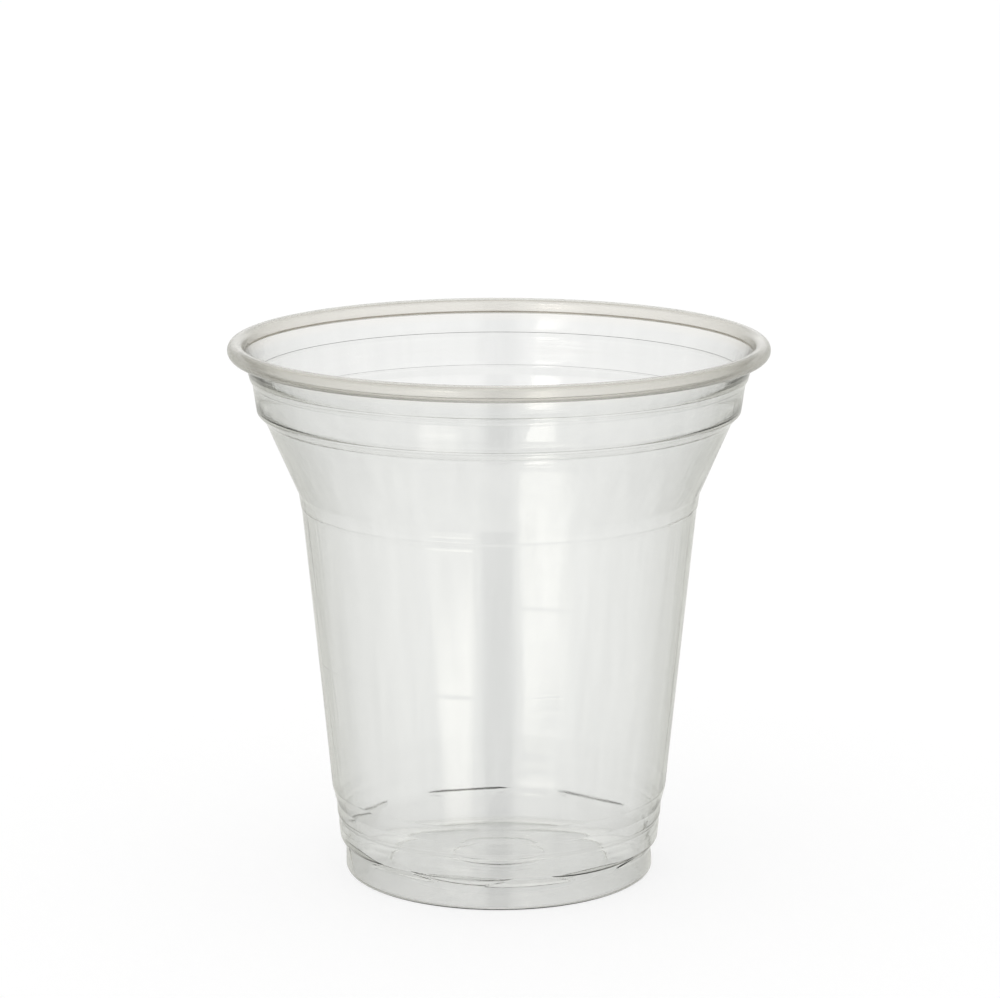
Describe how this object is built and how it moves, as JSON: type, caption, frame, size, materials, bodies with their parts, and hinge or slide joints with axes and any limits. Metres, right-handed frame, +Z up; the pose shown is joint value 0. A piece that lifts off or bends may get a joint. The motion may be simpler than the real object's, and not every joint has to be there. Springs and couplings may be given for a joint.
{
  "type": "disposable drinking cup",
  "caption": "Clear thin-walled drinking cup with a rolled rim, a lid band, a flared shoulder, a tapered body and a stepped foot with stacking lugs.",
  "frame": {"origin": "centre of the foot ring, on the surface that the cup stands on", "axes": "+Z up along the axis of the cup, towards its mouth; -Y faces the viewer of the picture"},
  "size_m": [0.095, 0.095, 0.0958],
  "materials": {
    "clear_plastic": "clear, glossy formed film"
  },
  "bodies": {
    "root": {"cup": "clear_plastic"}
  },
  "joints": []
}
